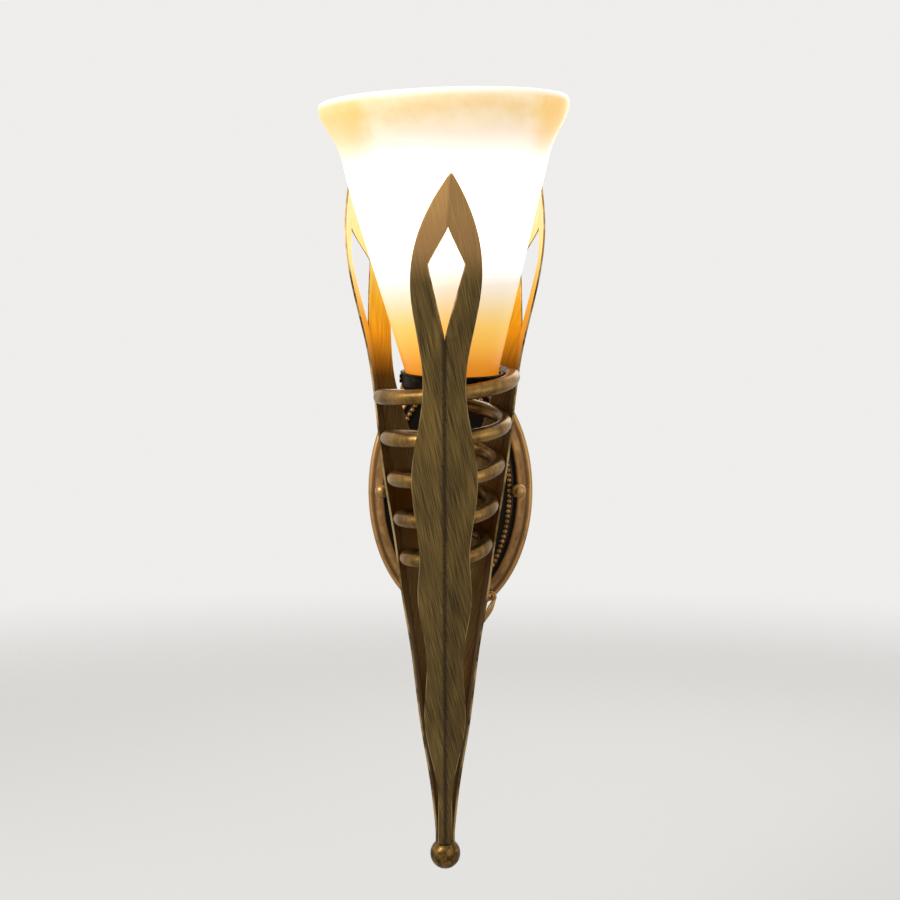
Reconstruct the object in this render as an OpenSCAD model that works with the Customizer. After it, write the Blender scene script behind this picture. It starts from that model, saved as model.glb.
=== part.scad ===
// Torch wall light: a glass bell in a cone of three folded leaves and a coiled rod, on an oval wall plate.
// The origin is on the wall at the centre of the plate: +X to the right, +Y into the wall, +Z up.
// Heights along the torch are measured from the centre of the ball at its foot.

/* [Stance] */
// Forward lean of the torch, in degrees
torch_lean = 10.3; // [8:0.1:12]
// Lean of the torch's inner rod and cup to the right, in degrees
side_lean = 0.85; // [0:0.05:0.9]
// Lean of the glass to the left inside its cup, in degrees
glass_skew = 2.9; // [0:0.1:3.2]
// Distance from the wall to the torch's axis at the arm
arm_reach = 72; // [68:1:90]

/* [Glass shade] */
// Outer diameter of the straight neck
neck_d = 57; // [54:0.5:57]
// Length of the straight neck
neck_h = 7.5; // [6:0.5:8]
// Height of the bell above its neck
bell_h = 159.5; // [145:0.5:165]
// Outer radius gained by the straight wall for each millimetre of height
bell_taper = 0.264; // [0.24:0.002:0.268]
// Height above the neck at which the bell starts to flare
flare_from = 124; // [110:1:130]
// Extra outer radius of the flare at the lip
flare_r = 5.2; // [3:0.1:7]
// Height of the upright lip
lip_h = 6.5; // [5:0.5:10]
// Thickness of the lip
lip_t = 5; // [4:0.1:6]
// Wall of the glass
glass_t = 3.6; // [3:0.1:4]

/* [Leaves] */
// Thickness of the leaf metal
leaf_t = 1.2; // [1:0.1:1.4]
// Fold of each half of a leaf away from flat, in degrees
leaf_fold = 24; // [22:0.5:26]
// Height of the leaves' feet
leaf_foot = 9; // [8.8:0.1:10]
// Height of the leaves' tips
leaf_tip = 434; // [425:1:440]
// Distance from the axis to the crease at the feet
foot_r = 6.4; // [6.3:0.1:7]
// Distance from the axis to the crease at the shoulder
shoulder_r = 69.2; // [68:0.1:72]
// Height of the shoulder, where the crease stands furthest out
shoulder_s = 416; // [405:1:420]
// How much the lower crease bows, as a power: 1 is straight
leaf_bow = 1.1; // [1:0.01:1.2]
// Half width of the foot
foot_w = 4.7; // [4:0.1:4.7]
// Height of the narrow stem above the foot
stalk_s = 40; // [30:1:50]
// Half width of the stem
stalk_w = 4.4; // [4:0.1:5]
// Height of the lowest belly
bud_s = 100; // [90:1:110]
// Half width of the lowest belly
bud_w = 13.1; // [10:0.1:13.5]
// Height of the waist above the lowest belly
bud_waist_s = 138; // [130:1:145]
// Half width of that waist
bud_waist_w = 11.3; // [9:0.1:12]
// Height of the second belly
low_belly_s = 184; // [175:1:190]
// Half width of the second belly
low_belly_w = 16.7; // [14:0.1:17.5]
// Height of the waist above the second belly
mid_waist_s = 208; // [200:1:215]
// Half width of that waist
mid_waist_w = 15.3; // [13:0.1:16]
// Height of the main belly
belly_s = 256; // [250:1:262]
// Half width of the main belly
belly_w = 19.8; // [17:0.1:21]
// Height of the upper waist
waist_s = 316; // [310:1:320]
// Half width of the upper waist
waist_w = 12.5; // [11:0.1:13.5]
// Height of the blade's widest point
blade_s = 378; // [370:1:385]
// Half width of the blade
blade_w = 20.2; // [18:0.1:21.5]
// Half width of the blunt tip
tip_w = 1.2; // [0.8:0.1:2]

/* [Kite opening] */
// Height of its lower point
kite_low_s = 342.5; // [335:0.5:350]
// Height of its two side corners
kite_mid_s = 385; // [380:1:390]
// Height of its upper point
kite_top_s = 405.5; // [400:0.5:408]
// Half width at the side corners
kite_w = 10.8; // [8:0.1:12]

/* [Coil] */
// Diameter of the rod
rod_d = 9.2; // [8:0.1:9.4]
// Rise of one turn
coil_pitch = 25.5; // [23:0.5:28]
// Height at which the coil passes the right side, two turns below its top end
coil_s = 289; // [285:0.5:291]
// Extra rise of the last half turn
coil_lift = 3; // [0:0.5:4]
// Sideways tilt of the turns, left side high
coil_tilt = 1.6; // [0:0.1:2]
// Angle of the coil's lower end, behind the torch
coil_start = -1340; // [-1345:5:-1330]
// Angle of the coil's upper end, behind the torch
coil_end = 465; // [455:5:470]
// Gap left between the rod and the leaves' edges
coil_gap = 0.25; // [0.2:0.05:0.5]
// Room between the cup's rim and the rod, where the cup leans towards it
coil_room = 0.2; // [0.1:0.1:2]

/* [Ball] */
// Diameter of the ball
ball_d = 19.8; // [19:0.1:22]

/* [Fitter cup] */
// Height of the cup's rim
cup_s = 319; // [318:0.5:321]
// Wall of the cup
cup_t = 1.3; // [1:0.1:1.5]
// Free space around the neck inside the cup
neck_gap = 1.2; // [1:0.1:1.4]
// Radius of the rolled bead on the cup's rim
cup_bead = 0.9; // [0.6:0.1:1]
// Thickness of the soft ring under the glass
gasket_t = 1.5; // [1:0.1:2]
// Radius of the neck screws' shanks
neck_screw_r = 1.5; // [1.2:0.1:1.8]
// Free play of each turning screw in its hole
screw_play = 0.06; // [0.03:0.01:0.09]
// Direction of the first neck screw, in degrees from the right
neck_screw_at = -60; // [-65:1:-58]
// Thickness of the neck screws' heads
neck_head_t = 1.3; // [1.1:0.1:1.4]
// Depth of the neck screws' middle below the cup's rim
neck_screw_drop = 4.8; // [4.7:0.1:5]

/* [Arm and rods] */
// Radius of the angled boss that the arm stands on
boss_r = 10.5; // [10:0.5:12]
// Outer radius of the threaded hollow nipples
nipple_r = 5; // [4.5:0.1:5.5]
// Bore radius of the nipples
nipple_bore = 3.2; // [3:0.1:3.4]
// Outer radius of the cover tubes
tube_r = 7; // [6.5:0.1:8]
// Radius of the hub
hub_r = 12; // [11:0.5:14]
// Length of the hub along the torch
hub_h = 34; // [32:1:40]
// Radius of the tie rod
tie_r = 2.5; // [2.3:0.1:2.8]
// Outer radius of the collar in the leaves' feet
collar_r = 4.1; // [3.8:0.1:4.2]
// Thickness of the hexagon nuts
nut_t = 3; // [2.6:0.1:3.2]
// Radius of the nipples' hexagon nuts across corners
nut_r = 8.5; // [8:0.1:9.5]
// Gap between neighbours in one assembly
seat_gap = 0.1; // [0.05:0.05:0.2]

/* [Lampholder and bulb] */
// Outer radius of the lampholder
holder_r = 13.5; // [12.5:0.1:14]
// Height of the lampholder
holder_h = 31; // [30:0.5:34]
// Radius of the bulb's cap
cap_r = 6.9; // [6.8:0.05:7]
// Length of the bulb's cap
cap_h = 17; // [16:0.5:18]
// Largest radius of the bulb
bulb_r = 17.5; // [15:0.5:18]
// Length of the bulb's glass
bulb_h = 74; // [70:1:80]

/* [Wall plate] */
// Half width of the plate
plate_a = 56; // [54:0.5:60]
// Half height of the plate
plate_b = 86; // [82:0.5:92]
// Height of the plate's field above the wall
plate_h = 15; // [15:0.5:17]
// Thickness of the plate
plate_t = 1.4; // [1.2:0.1:1.6]
// Width of the moulded rim
rim_w = 12; // [10:0.5:13]
// Half width of the bead string
bead_a = 39.5; // [38:0.5:40]
// Half height of the bead string
bead_b = 71; // [68:0.5:71]
// Radius of the bead string
bead_r = 1.7; // [1.4:0.1:2]

/* [Scrolls] */
// Radius of each scroll's outer turn
scroll_r = 3.6; // [3.2:0.1:4]
// Distance of the scrolls' middles from the plate's edge
scroll_in = 3; // [2.5:0.1:3.5]
// Place of the top scrolls along the plate's oval, as an angle up from its widest point
top_scroll_at = 56; // [52:1:62]
// Length of the top scrolls' tails
top_tail = 12; // [10:0.5:14]
// Place of the foot scrolls along the plate's oval, as an angle down from its widest point
foot_scroll_at = 59.5; // [55:0.5:65]
// Length of the foot scrolls' tails
foot_tail = 18; // [14:0.5:19]
// Lean of the tails towards the plate's middle line, in degrees
tail_turn = 25; // [15:1:30]

/* [Fixings] */
// Distance of each cap nut from the plate's centre
stud_x = 45.5; // [45:0.5:47]
// Radius of the studs
stud_r = 2; // [1.9:0.05:2.1]
// Radius of the cap nuts' balls
cap_ball_r = 4.9; // [4.5:0.1:5.2]
// Half length of the wall strap
strap_l = 50.5; // [50:0.5:52]
// Half width of the wall strap
strap_w = 9; // [8:0.5:10]
// Thickness of the wall strap
strap_t = 2.5; // [2:0.1:3]
// Distance of each wall screw hole from the centre
wall_hole_x = 30; // [28:0.5:33]
// Radius of the wall screw holes
wall_hole_r = 2.3; // [2:0.1:2.8]
// Radius of the cable hole in the strap's middle
cable_hole_r = 7; // [6:0.5:7.5]

/* [Wiring] */
// Radius of an insulated lead
lead_r = 0.9; // [0.8:0.05:1]
// Distance of each lead from the middle of the bore
lead_x = 1.5; // [1.3:0.05:1.7]
// Distance of the terminal block's near face from the middle
terminal_x = 10; // [9:0.5:11]

/* [Hidden] */
$fn = 64;
HOLE_SIDES = 48;
OVAL_STEPS = 72;
RINGS_A_TURN = 24;
ROD_SIDES = 8;
eps = 0.01;

// Colours
antique_gold = "#8a6f3a";
dark_bronze = "#2b241c";
copper_bronze = "#9a5a2c";
steel = "#a9adb0";
brass = "#c9a552";
amber_glass = "#f2c27a";

// Heights on the torch that follow from the sizes above
ball_r = ball_d / 2;
neck_r = neck_d / 2;
arm_height = coil_s - 2.25 * coil_pitch;
arm_l = (arm_reach - plate_h) / cos(torch_lean);
hub_drop = arm_l * sin(torch_lean);
cup_in = neck_r + neck_gap;
cup_out = cup_in + cup_t;
flare_to = bell_h - lip_h;
waist_in = cup_out + cup_bead + cup_s * sin(side_lean) + coil_room + rod_d + coil_gap;
glass_s = cup_s - neck_h;
gasket_top = glass_s - neck_r * sin(glass_skew) - 0.3;
cup_floor_s = gasket_top - gasket_t - seat_gap;
cup_base_s = cup_floor_s - cup_t;
neck_screw_s = cup_s - neck_screw_drop;
holder_s = cup_floor_s + nut_t + 2 * seat_gap;
core_h = 9;
thread_s = holder_s + core_h;
cap_s = thread_s + 5;
bulb_s = cap_s + cap_h;
hub_low = arm_height - hub_h / 2;
hub_top = arm_height + hub_h / 2;
leaf_azimuths = [-90, 150, 30];

// ---- Places ----

// Turns a shape drawn flat (X right, Y up, Z off the wall) onto the wall
module on_wall() { rotate([90, 0, 0]) children(); }

// Lays a shape drawn along +Z on the arm, which leaves the plate square to the torch
module on_arm() { translate([0, -plate_h, 0]) rotate([90 + torch_lean, 0, 0]) children(); }
function at_arm(p) = [p[0], -plate_h - p[1] * sin(torch_lean) - p[2] * cos(torch_lean),
    p[1] * cos(torch_lean) - p[2] * sin(torch_lean)];

// Puts a shape drawn upright, at its height above the ball, on the torch's inner rod
module on_rod() {
    translate([0, -arm_reach, -hub_drop]) rotate([0, side_lean, 0]) rotate([torch_lean, 0, 0])
        translate([0, 0, -arm_height]) children();
}

function at_rod(p) =
    let (h = p[2] - arm_height, y = p[1] * cos(torch_lean) - h * sin(torch_lean),
        z = p[1] * sin(torch_lean) + h * cos(torch_lean))
    [p[0] * cos(side_lean) + z * sin(side_lean), y - arm_reach,
        z * cos(side_lean) - p[0] * sin(side_lean) - hub_drop];

// The same for the leaves and the coil, which stand straight over the ball
module on_leaves() { on_rod() rotate([0, -side_lean, 0]) children(); }

// The same for the glass, which leans over at the height of the neck screws
module on_glass() {
    on_rod() translate([0, 0, neck_screw_s]) rotate([0, -glass_skew, 0]) translate([0, 0, -neck_screw_s])
        children();
}

// ---- Small helpers ----

function ease(x) = x <= 0 ? 0 : x >= 1 ? 1 : (1 - cos(180 * x)) / 2;
function unit(v) = v / norm(v);

// Triangles between two neighbouring rings of n points, the first starting at point k
function band(k, n) = [for (i = [0:n - 1]) let (j = (i + 1) % n)
    each [[k + i, k + n + i, k + j], [k + j, k + n + i, k + n + j]]];

// Closes a stack of equal rings into one solid
module skin(rings) {
    n = len(rings[0]);
    last = n * (len(rings) - 1);
    polyhedron(points = [for (ring = rings) each ring],
        faces = concat([[for (i = [0:n - 1]) i]], [[for (i = [n - 1:-1:0]) last + i]],
            [for (k = [0:len(rings) - 2]) each band(k * n, n)]));
}

// One ring of a swept tube: centre c, direction d, and a side direction that stays off d
function tube_ring(c, d, side, r, n) =
    let (t = unit(d), u = unit(side - (side * t) * t), v = cross(t, u))
    [for (i = [0:n - 1]) c + r * (cos(360 * i / n) * u + sin(360 * i / n) * v)];

// Direction of a route at its point i
function heading(route, i) = route[min(i + 1, len(route) - 1)] - route[max(i - 1, 0)];

// Rounds each inner corner of a route, cutting it back by the length cut
function rounded(route, cut, n) = [for (i = [0:len(route) - 1])
    if (i == 0 || i == len(route) - 1) route[i]
    else let (a = route[i] + cut * unit(route[i - 1] - route[i]),
        b = route[i] + cut * unit(route[i + 1] - route[i]))
        each [for (k = [0:n]) let (q = k / n) (1 - q) * (1 - q) * a + 2 * q * (1 - q) * route[i] + q * q * b]];

// Adds points to a route so that no stretch is longer than step
function stepped(route, step) = [for (i = [0:len(route) - 2])
    let (a = route[i], b = route[i + 1], n = max(1, ceil(norm(b - a) / step)))
        each [for (k = [0:n - 1]) a + (b - a) * k / n], route[len(route) - 1]];

module tube(route, r, side, n) {
    skin([for (i = [0:len(route) - 1]) tube_ring(route[i], heading(route, i), side, r, n)]);
}

// A pipe standing on the height low, up to high
module pipe(low, high, outer, bore) {
    translate([0, 0, low]) difference() {
        cylinder(h = high - low, r = outer);
        translate([0, 0, -1]) cylinder(h = high - low + 2, r = bore, $fn = HOLE_SIDES);
    }
}

module rod(low, high, r) { translate([0, 0, low]) cylinder(h = high - low, r = r); }

module hex_nut(low, bore, corner_r, t) {
    translate([0, 0, low]) difference() {
        cylinder(h = t, r = corner_r, $fn = 6);
        translate([0, 0, -1]) cylinder(h = t + 2, r = bore, $fn = HOLE_SIDES);
    }
}

// ---- Leaves ----

// Distance from the axis to the crease at the upper waist, where the leaves' edges lie waist_in from it
waist_r = sqrt(waist_in * waist_in - waist_w * waist_w) + waist_w * tan(leaf_fold) + leaf_t / cos(leaf_fold);

// Distance from the axis to the crease at height s
function shoulder_blend(x) = 0.75 * (x * x * x - 2 * x * x + x) + 3 * x * x - 2 * x * x * x;
function crease_r(s) =
    s < waist_s ? foot_r + (waist_r - foot_r) * pow(max(0, (s - 16) / (waist_s - 16)), leaf_bow)
    : s < shoulder_s ? waist_r + (shoulder_r - waist_r) * shoulder_blend((s - waist_s) / (shoulder_s - waist_s))
    : shoulder_r;

// The bellies and waists from the foot to the blade, as height and half width
leaf_widths = [[leaf_foot, foot_w], [stalk_s, stalk_w], [bud_s, bud_w], [bud_waist_s, bud_waist_w],
    [low_belly_s, low_belly_w], [mid_waist_s, mid_waist_w], [belly_s, belly_w], [waist_s, waist_w],
    [blade_s, blade_w]];
function wave(s, i) = s <= leaf_widths[i + 1][0] || i == len(leaf_widths) - 2
    ? let (a = leaf_widths[i], b = leaf_widths[i + 1]) a[1] + (b[1] - a[1]) * ease((s - a[0]) / (b[0] - a[0]))
    : wave(s, i + 1);
function tip_w_at(s) = tip_w + (blade_w - tip_w) * (1 - pow((s - blade_s) / (leaf_tip - blade_s), 2));
function half_w(s) = s <= blade_s ? wave(s, 0) : tip_w_at(s);

leaf_step = 12;
leaf_rows = concat([for (s = [leaf_foot:leaf_step:leaf_tip - leaf_step / 2]) s], [leaf_tip]);
side_rows = concat([leaf_foot - 2], leaf_rows, [leaf_tip + 2]);
edge_rows = [for (s = leaf_rows) each s == leaf_tip ? [s] : [s, min(s + leaf_step / 2, leaf_tip - 1)]];

// One half of a leaf: a bent sheet cut to the leaf's outline
module half_leaf() {
    reach = 2 * shoulder_r;
    intersection() {
        rotate([0, 0, leaf_fold]) translate([0, reach / 2, 0]) rotate([90, 0, 0]) linear_extrude(reach)
            polygon(concat([for (s = side_rows) [crease_r(s) * cos(leaf_fold), s]],
                [for (i = [len(side_rows) - 1:-1:0]) [crease_r(side_rows[i]) * cos(leaf_fold) - leaf_t,
                    side_rows[i]]]));
        rotate([90, 0, 90]) linear_extrude(reach)
            polygon(concat([[0, leaf_foot], [0, kite_low_s], [kite_w, kite_mid_s], [0, kite_top_s],
                [0, leaf_tip]],
                [for (i = [len(edge_rows) - 1:-1:0]) [half_w(edge_rows[i]), edge_rows[i]]]));
    }
}

module leaf(azimuth) {
    color(antique_gold) on_leaves() rotate([0, 0, azimuth]) {
        half_leaf();
        mirror([0, 1, 0]) half_leaf();
    }
}

module leaf_front() { leaf(leaf_azimuths[0]); }
module leaf_left() { leaf(leaf_azimuths[1]); }
module leaf_right() { leaf(leaf_azimuths[2]); }

// ---- Coil ----

// Nearest distance from the axis to the inside of a leaf at height s
function leaf_inside(s) =
    let (flat = crease_r(s) * cos(leaf_fold) - leaf_t, foot = flat * sin(leaf_fold), w = half_w(s))
    w > foot ? flat : norm([crease_r(s) - w * tan(leaf_fold) - leaf_t / cos(leaf_fold), w]);

rod_r = rod_d / 2;
function coil_height(a) = coil_s + coil_pitch * min(a, 360) / 360 + coil_lift * ease((a - 180) / 180)
    - coil_tilt * cos(a);
function coil_r(a) = leaf_inside(coil_height(a)) - rod_r - coil_gap;
function coil_point(a) = [coil_r(a) * cos(a), coil_r(a) * sin(a), coil_height(a)];
turns = [for (a = [coil_start:360 / RINGS_A_TURN:coil_end]) coil_point(a)];
last_turn = len(turns) - 1;
coil_route = concat([turns[0] - rod_d * unit(turns[1] - turns[0])], turns,
    [turns[last_turn] + rod_d * unit(turns[last_turn] - turns[last_turn - 1])]);

// Least gap between the rod and itself, over points at least half a turn apart
coil_least_gap = min([for (i = [0:len(coil_route) - 1], j = [0:len(coil_route) - 1])
    if (j - i > RINGS_A_TURN / 2) norm(coil_route[i] - coil_route[j])]) - rod_d;
echo(coil_least_gap = coil_least_gap);

module coil() {
    n = len(coil_route);
    color(antique_gold) on_leaves()
        skin([for (i = [0:n - 1]) tube_ring(coil_route[i], heading(coil_route, i),
            [coil_route[i][0], coil_route[i][1], 0], rod_r, ROD_SIDES)]);
}

// ---- Foot, tie rod, hub and stem ----

// The ball's top is cut flat by ball_flat, and the tie rod ends below its centre by tie_end
ball_flat = 1.2;
ball_cut = ball_r - ball_flat;
tie_end = 4;
collar_l = 10;

module ball_finial() {
    color(brass) on_rod() difference() {
        sphere(r = ball_r);
        rod(ball_cut, ball_r + 1, ball_r);
        rod(-tie_end - 0.5, ball_r, tie_r + screw_play);
    }
}

module tie_rod() { color(steel) on_rod() rod(-tie_end, hub_low + tie_depth, tie_r); }

module foot_collar() {
    color(steel) on_rod() pipe(ball_cut + 0.3, leaf_foot + collar_l, collar_r, tie_r + seat_gap / 2);
}

// The hub is a turned barrel, drilled for the tie rod below, the stem's nipple above and the arm's behind
hub_chamfer = 3;
tie_depth = 8;
stem_depth = 10;
arm_depth = 6;
tube_seat = 1.5;
module hub() {
    color(antique_gold) difference() {
        on_rod() rotate_extrude() polygon([[0, hub_low], [hub_r - hub_chamfer, hub_low],
            [hub_r, hub_low + hub_chamfer], [hub_r, hub_top - hub_chamfer], [hub_r - hub_chamfer, hub_top],
            [0, hub_top]]);
        on_rod() rod(hub_low - 1, hub_low + tie_depth + seat_gap, tie_r + seat_gap / 2);
        on_rod() rod(arm_height - nipple_bore, hub_top, nipple_bore);
        on_rod() rod(hub_top - stem_depth, hub_top + 1, nipple_r + seat_gap / 2);
        on_arm() rod(arm_l - hub_r - 4, arm_l + nipple_bore, nipple_bore);
        on_arm() rod(arm_l - hub_r - 4, arm_l - hub_r + arm_depth, nipple_r + seat_gap / 2);
        on_arm() rod(arm_l - hub_r - 4, arm_l - hub_r + tube_seat, tube_r + seat_gap);
    }
}

// The nipple ends this far inside the lampholder's core
holder_depth = 6;
module stem_nipple() {
    color(brass) on_rod() pipe(hub_top - stem_depth + seat_gap, holder_s + holder_depth, nipple_r, nipple_bore);
}

module stem_tube() {
    color(antique_gold) on_rod() pipe(hub_top + seat_gap, cup_base_s - seat_gap, tube_r, nipple_r + seat_gap);
}

// ---- Arm ----

field_back = plate_h - plate_t;
boss_top = 3.5;
wedge_low = -4.2;
arm_nut_low = wedge_low - seat_gap - nut_t;
arm_low = arm_nut_low - 0.5;

module arm_nipple() {
    color(brass) on_arm() pipe(arm_low, arm_l - hub_r + arm_depth - seat_gap, nipple_r, nipple_bore);
}

module arm_lock_nut() { color(steel) on_arm() hex_nut(arm_nut_low, nipple_r + seat_gap / 2, nut_r, nut_t); }

module arm_tube() {
    color(antique_gold) on_arm()
        pipe(boss_top + seat_gap, arm_l - hub_r + tube_seat - seat_gap, tube_r, nipple_r + seat_gap);
}

// A slab between two heights off the wall
module wall_slab(low, high) {
    on_wall() translate([-plate_a, -plate_a, low]) cube([2 * plate_a, 2 * plate_a, high - low]);
}

// The boss before the plate and the wedge behind it are cut to the arm's angle
module arm_boss() {
    color(copper_bronze) intersection() {
        on_arm() pipe(-6, boss_top, boss_r, nipple_r + seat_gap);
        wall_slab(plate_h, plate_h + boss_r);
    }
}

module arm_wedge() {
    color(steel) intersection() {
        on_arm() pipe(wedge_low, nut_r, nut_r, nipple_r + seat_gap);
        wall_slab(0, field_back);
    }
}

// ---- Fitter cup ----

module fitter_cup() {
    color(dark_bronze) on_rod() difference() {
        union() {
            rotate_extrude() polygon([[0, cup_base_s], [cup_out - 4, cup_base_s],
                [cup_out - 1, cup_base_s + 1.6], [cup_out, cup_base_s + 4], [cup_out, cup_s], [cup_in, cup_s],
                [cup_in, cup_floor_s], [0, cup_floor_s]]);
            translate([0, 0, cup_s - cup_bead]) rotate_extrude() translate([cup_out, 0]) circle(r = cup_bead);
        }
        rod(cup_base_s - 1, cup_floor_s + 1, nipple_r + seat_gap / 2);
        for (k = [0:2]) on_neck_screw(k)
            cylinder(h = cup_out + 4, r = neck_screw_r + screw_play, $fn = HOLE_SIDES);
    }
}

// Lays a shape drawn along +Z out along neck screw k
module on_neck_screw(k) {
    translate([0, 0, neck_screw_s]) rotate([0, 0, neck_screw_at + 120 * k]) rotate([0, 90, 0]) children();
}

slot_w = 0.8;
slot_depth = 0.7;
module neck_screw(k) {
    head_z = cup_out + seat_gap;
    color(dark_bronze) on_rod() on_neck_screw(k) difference() {
        union() {
            rod(neck_r + 0.3, head_z + eps, neck_screw_r);
            rod(head_z, head_z + neck_head_t, 1.8 * neck_screw_r);
        }
        translate([-slot_w / 2, -2 * neck_screw_r, head_z + neck_head_t - slot_depth])
            cube([slot_w, 4 * neck_screw_r, slot_depth + 1]);
    }
}

module neck_screw_front() { neck_screw(0); }
module neck_screw_rear() { neck_screw(1); }
module neck_screw_left() { neck_screw(2); }

module cup_lock_nut() {
    color(steel) on_rod() hex_nut(cup_floor_s + seat_gap, nipple_r + seat_gap / 2, nut_r, nut_t);
}

module neck_gasket() {
    color("#3a3632") on_rod() pipe(cup_floor_s + seat_gap, gasket_top, neck_r, neck_r - glass_t - 1);
}

// ---- Glass ----

flare_bow = 1.3;
function flare(h) = flare_r * ease(pow(max(0, (h - flare_from) / (flare_to - flare_from)), flare_bow));
function bell_r(h) = neck_r + bell_taper * h + flare(h);
bell_rows = [0, flare_from / 2, for (k = [0:7]) flare_from + (flare_to - flare_from) * k / 7];

module glass_shade() {
    lip_mid = bell_r(flare_to) - lip_t / 2;
    lip_top = bell_h - lip_t / 2;
    color(amber_glass) on_glass() translate([0, 0, cup_s]) rotate_extrude() union() {
        polygon(concat([[neck_r - glass_t, -neck_h], [neck_r, -neck_h]],
            [for (h = bell_rows) [bell_r(h), h]],
            [for (i = [len(bell_rows) - 1:-1:0]) [bell_r(bell_rows[i]) - glass_t, bell_rows[i]]]));
        translate([lip_mid, flare_to]) circle(r = lip_t / 2);
        translate([lip_mid - lip_t / 2, flare_to]) square([lip_t, lip_top - flare_to]);
        translate([lip_mid, lip_top]) circle(r = lip_t / 2);
    }
}

// ---- Lampholder and bulb ----

holder_t = 1.6;
holder_floor = 2;
core_top = thread_s - seat_gap;
sleeve_t = 0.6;

module holder_shell() {
    color("#e9e2d2") on_rod() difference() {
        rod(holder_s, holder_s + holder_h, holder_r);
        rod(holder_s + holder_floor, holder_s + holder_h + 1, holder_r - holder_t);
        rod(holder_s - 1, holder_s + holder_floor + 1, nipple_r + seat_gap / 2);
    }
}

module holder_core() {
    color("white") on_rod() difference() {
        rod(holder_s + holder_floor + seat_gap, core_top, holder_r - holder_t - seat_gap);
        rod(holder_s, holder_s + holder_depth + seat_gap, nipple_r + seat_gap);
    }
}

module holder_thread() {
    color(brass) on_rod() {
        pipe(thread_s, holder_s + holder_h - 1, cap_r + screw_play + sleeve_t, cap_r + screw_play);
        pipe(thread_s, thread_s + 0.8, holder_r - holder_t - seat_gap, cap_r + screw_play);
    }
}

module holder_contact() { color(brass) on_rod() rod(thread_s, cap_s - 1.6, 2); }

module bulb_tip() { color(steel) on_rod() rod(cap_s - 1.3, cap_s - seat_gap, 2.2); }

module bulb_cap() { color(steel) on_rod() rod(cap_s, bulb_s, cap_r); }

// A candle bulb: a neck, a belly and a blunt point
module bulb_outline(inset) {
    belly = bulb_h * 0.3;
    hull() {
        translate([0, bulb_s + inset]) square([cap_r - 0.4 - inset, 1]);
        translate([0, bulb_s + belly]) intersection() {
            circle(r = bulb_r - inset);
            translate([0, -bulb_r]) square([bulb_r, 2 * bulb_r]);
        }
        translate([0, bulb_s + bulb_h - 3 - inset]) square([2 - inset, 3]);
    }
}

bulb_wall = 0.8;
module bulb_glass() {
    color("#fff4dc") on_rod() rotate_extrude() difference() {
        bulb_outline(0);
        bulb_outline(bulb_wall);
    }
}

// A thick foot and a thin upper part that ends a little above the bulb's middle
module bulb_mount() {
    foot_top = bulb_s + 0.25 * bulb_h;
    color("#ffe9b0") on_rod() {
        rod(bulb_s + bulb_wall + seat_gap, foot_top, 3);
        rod(foot_top, bulb_s + 0.55 * bulb_h, 1.2);
    }
}

// ---- Plate and its ornament ----

function oval(a, b, z) = [for (i = [0:OVAL_STEPS - 1])
    let (q = 360 * i / OVAL_STEPS) [a * cos(q), b * sin(q), z]];

// Cross-section of the rim, from its outer edge inwards: distance from the edge and height off the wall
bead_h = 5;
ridge_h = plate_h - 1;
rim_section = [[0, 0], [0, 0.6 * bead_h], [0.1 * rim_w, 0.92 * bead_h], [0.2 * rim_w, bead_h],
    [0.3 * rim_w, bead_h], [0.42 * rim_w, 0.86 * bead_h + 1], [0.62 * rim_w, 0.55 * ridge_h + 1],
    [0.8 * rim_w, 0.86 * ridge_h], [0.95 * rim_w, ridge_h + 1]];

module plate() {
    shell = [for (p = rim_section) oval(plate_a - p[0], plate_b - p[0], p[1])];
    inside = [for (p = rim_section)
        oval(plate_a - p[0] - plate_t, plate_b - p[0] - plate_t, max(0, p[1] - plate_t))];
    color(copper_bronze) on_wall() difference() {
        skin(shell);
        translate([0, 0, -eps])
            skin([for (ring = inside) [for (p = ring) [p[0], p[1], p[2] == 0 ? 0 : p[2] + eps]]]);
        rod(field_back - 2, plate_h + 2, nipple_r + 0.8);
        for (side = [-1, 1]) translate([side * stud_x, 0, 0]) rod(0, plate_h + 2, stud_r + 0.3);
    }
}

// The bead string is a half-round band here
module bead_band() {
    section = [for (q = [0:30:180]) bead_r * [cos(q), sin(q)]];
    n = len(section);
    points = [for (i = [0:OVAL_STEPS - 1]) let (q = 360 * i / OVAL_STEPS) each
        [for (p = section) [(bead_a + p[0]) * cos(q), (bead_b + p[0]) * sin(q), plate_h + p[1]]]];
    color(copper_bronze) on_wall() polyhedron(points = points,
        faces = [for (i = [0:OVAL_STEPS - 1], k = [0:n - 1]) let (j = (i + 1) % OVAL_STEPS, m = (k + 1) % n)
            each [[i * n + k, i * n + m, j * n + k], [i * n + m, j * n + m, j * n + k]]]);
}

// A volute of three half rings of falling radius, with a ball at its inner end and a tapered tail
module half_ring(r, thick) { rotate_extrude(angle = 180) translate([r, 0]) circle(r = thick); }
module volute(r, thick, tail) {
    inner = [r, 0.74 * r, 0.45 * r];
    middle = [0, inner[1] - inner[0], 2 * inner[1] - inner[0] - inner[2]];
    for (k = [0:2]) translate([middle[k], 0, 0]) rotate([0, 0, 180 * k]) half_ring(inner[k], thick);
    translate([middle[2] - inner[2], 0, 0]) sphere(r = 1.5 * thick);
    translate([r, 0, 0]) rotate([90, 0, 0]) cylinder(h = tail, r1 = thick, r2 = thick / 2);
}

// Height of the rim at a distance in from the plate's edge
function rim_height(p) = lookup(p, rim_section);

// A mirrored pair of volutes that stand on the slope of the plate's rim, below its middle
module scroll_pair(at, tail) {
    thick = scroll_r / 4.4;
    z = rim_height(scroll_in + scroll_r + thick) + thick / 2 + seat_gap;
    for (side = [0, 1]) mirror([side, 0, 0])
        translate([(plate_a - scroll_in) * cos(at), -(plate_b - scroll_in) * sin(at), z])
            rotate([0, 0, -tail_turn]) volute(scroll_r, thick, tail);
}

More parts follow.
